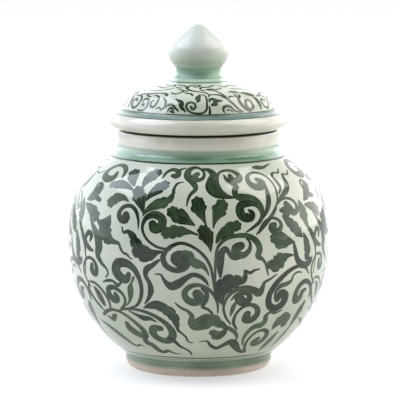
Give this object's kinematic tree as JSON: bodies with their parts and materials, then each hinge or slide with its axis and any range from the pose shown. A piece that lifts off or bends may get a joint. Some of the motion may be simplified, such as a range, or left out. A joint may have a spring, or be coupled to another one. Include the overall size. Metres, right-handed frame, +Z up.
{
  "type": "ginger jar",
  "caption": "Round-bellied glazed jar on a foot ring, for storing dry goods or display; a loose domed lid with a bud-shaped knob drops into the neck and lifts off.",
  "frame": {"origin": "centre of the foot ring's flat underside, on the surface that the jar stands on", "axes": "+Z up along the jar's axis of turning, towards the knob's tip; the shape is round, so +X and +Y are any two level directions at right angles, and the painted side that the maker shows first faces -Y"},
  "size_m": [0.152, 0.152, 0.2],
  "materials": {
    "painted_jar_glaze": "glossy",
    "painted_lid_glaze": "glossy",
    "knob_glaze": "glossy",
    "foot_clay": "satin",
    "flange_clay": "satin"
  },
  "bodies": {
    "jar": {"jar_body": "painted_jar_glaze", "foot_ring": "foot_clay"},
    "lid": {"lid_dome": "painted_lid_glaze", "lid_flange": "flange_clay", "lid_knob": "knob_glaze"}
  },
  "joints": [
    {"name": "lid_lift", "type": "slide", "parent": "jar", "child": "lid", "axis": [0, 0, 1], "range_m": [0, 0.08]}
  ]
}
